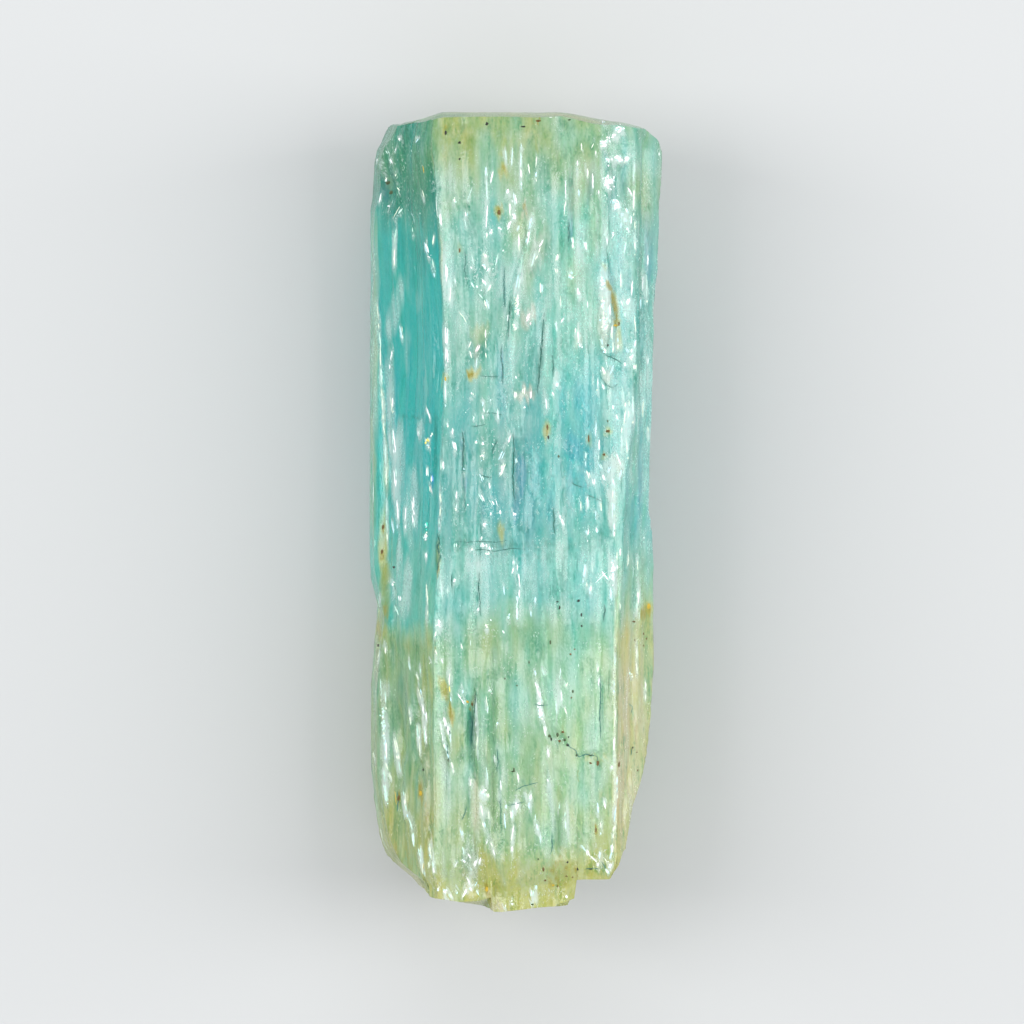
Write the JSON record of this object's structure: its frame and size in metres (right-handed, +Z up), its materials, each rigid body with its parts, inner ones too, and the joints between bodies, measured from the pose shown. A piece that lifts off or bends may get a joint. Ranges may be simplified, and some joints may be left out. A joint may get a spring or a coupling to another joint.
{
  "type": "rough aquamarine crystal",
  "caption": "Loose uncut beryl crystal, a long striated hexagonal prism with one etched end and one broken end, lying on a prism face.",
  "frame": {"origin": "bottom centre of the bounding box, on the surface that the crystal lies on", "axes": "+Y along the crystal's long axis towards its etched end, +Z up, away from the prism face that it lies on"},
  "size_m": [0.0154, 0.042, 0.0126],
  "materials": {
    "beryl": "clear to milky blue-green crystal with a striated, lightly frosted skin, yellow-green towards both ends"
  },
  "bodies": {
    "root": {"aquamarine_crystal": "beryl"}
  },
  "joints": []
}
